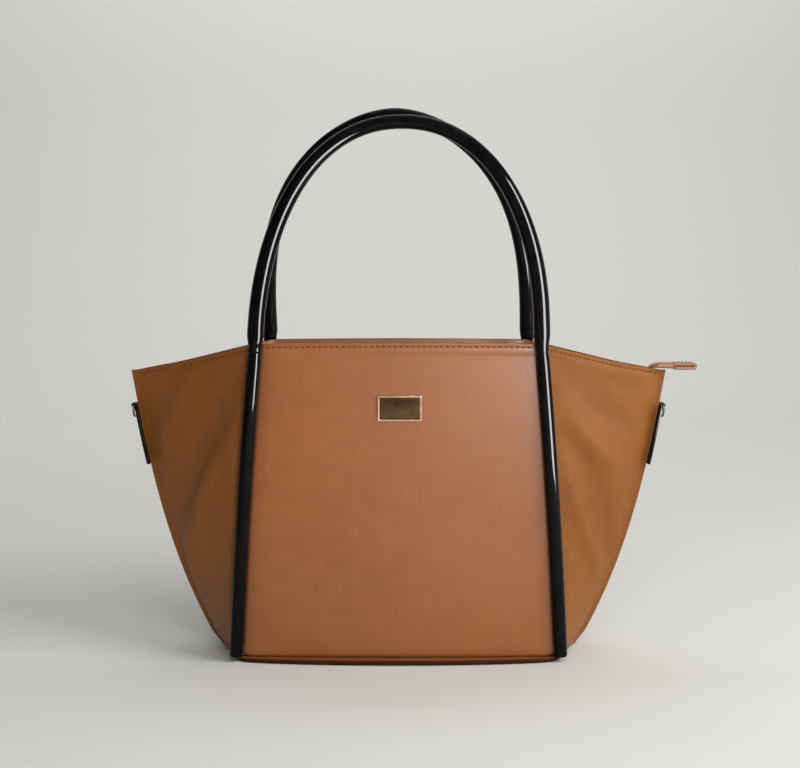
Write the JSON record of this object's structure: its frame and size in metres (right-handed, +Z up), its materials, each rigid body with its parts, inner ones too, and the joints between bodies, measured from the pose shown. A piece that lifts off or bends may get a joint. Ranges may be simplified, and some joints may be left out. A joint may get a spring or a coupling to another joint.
{
  "type": "tote bag",
  "caption": "Structured tote bag with tapering boat-shaped sides, black tubular corner trim that carries on into arched handles, a zip top with a tail tab, and side rings.",
  "frame": {"origin": "middle of the base panel's underside, on the surface the bag stands on", "axes": "+Z up, the front panel with the nameplate faces -Y, +X to the right as seen from the front, where the zip tail leaves"},
  "size_m": [0.4524, 0.1278, 0.4317],
  "materials": {
    "tan_leather": "fine pebble grain, satin",
    "black_patent": "patent, high gloss",
    "handle_rope": "twisted cotton rope",
    "lining_fabric": "plain weave, matt",
    "stiff_board": "pressed board, matt",
    "zip_cloth": "woven zip tape",
    "gold_metal": "polished gold plate",
    "grey_metal": "polished nickel"
  },
  "bodies": {
    "bag": {"back_facing": "tan_leather", "back_left_gusset": "tan_leather", "back_left_leg": "black_patent", "back_left_tape": "zip_cloth", "back_left_teeth": "gold_metal", "back_left_wing": "tan_leather", "back_panel": "tan_leather", "back_right_leg": "black_patent", "back_right_wing": "tan_leather", "back_tail_gusset": "tan_leather", "back_tail_tape": "zip_cloth", "back_tail_teeth": "gold_metal", "back_top_stop": "gold_metal", "base_board": "stiff_board", "base_panel": "tan_leather", "bottom_stop": "gold_metal", "front_facing": "tan_leather", "front_left_gusset": "tan_leather", "front_left_leg": "black_patent", "front_left_tape": "zip_cloth", "front_left_teeth": "gold_metal", "front_left_wing": "tan_leather", "front_panel": "tan_leather", "front_right_leg": "black_patent", "front_right_wing": "tan_leather", "front_tail_gusset": "tan_leather", "front_tail_tape": "zip_cloth", "front_tail_teeth": "gold_metal", "front_top_stop": "gold_metal", "left_tab": "black_patent", "lining": "lining_fabric", "nameplate": "gold_metal", "right_tab": "black_patent", "zip_tail_tab": "tan_leather"},
    "front_handle": {"front_handle": "black_patent", "front_handle_core": "handle_rope"},
    "back_handle": {"back_handle": "black_patent", "back_handle_core": "handle_rope"},
    "zip_slider": {"zip_slider": "gold_metal"},
    "zip_puller": {"zip_puller": "gold_metal"},
    "front_flap": {"front_zip_flap": "tan_leather", "front_zip_tape": "zip_cloth", "front_teeth": "gold_metal"},
    "back_flap": {"back_zip_flap": "tan_leather", "back_zip_tape": "zip_cloth", "back_teeth": "gold_metal"},
    "left_ring": {"left_d_ring": "grey_metal"},
    "right_ring": {"right_d_ring": "grey_metal"}
  },
  "joints": [
    {"name": "front_handle_fold", "type": "hinge", "parent": "bag", "child": "front_handle", "pos_m": [0, -0.05794, 0.25255], "axis": [1, 0, 0], "range_deg": [0, 105]},
    {"name": "back_handle_fold", "type": "hinge", "parent": "bag", "child": "back_handle", "pos_m": [0, 0.05794, 0.25255], "axis": [-1, 0, 0], "range_deg": [0, 105]},
    {"name": "zip_slide", "type": "slide", "parent": "bag", "child": "zip_slider", "axis": [1, 0, 0], "range_m": [0, 0.3225]},
    {"name": "front_flap_drop", "type": "hinge", "parent": "bag", "child": "front_flap", "pos_m": [0, -0.05074, 0.22715], "axis": [-1, 0, 0], "range_deg": [0, 80]},
    {"name": "back_flap_drop", "type": "hinge", "parent": "bag", "child": "back_flap", "pos_m": [0, 0.05074, 0.22715], "axis": [1, 0, 0], "range_deg": [0, 80]},
    {"name": "puller_swing", "type": "hinge", "parent": "zip_slider", "child": "zip_puller", "pos_m": [-0.1488, 0, 0.2305], "axis": [0, -1, 0], "range_deg": [0, 120]},
    {"name": "left_ring_swing", "type": "hinge", "parent": "bag", "child": "left_ring", "pos_m": [-0.21097, 0, 0.1955], "axis": [0, 1, 0], "range_deg": [0, 150]},
    {"name": "right_ring_swing", "type": "hinge", "parent": "bag", "child": "right_ring", "pos_m": [0.21097, 0, 0.1955], "axis": [0, -1, 0], "range_deg": [0, 150]}
  ],
  "couplings": [
    {"joint": "front_flap_drop", "follows": "zip_slide", "rad_per_m": 4.3295},
    {"joint": "back_flap_drop", "follows": "zip_slide", "rad_per_m": 4.3295}
  ]
}
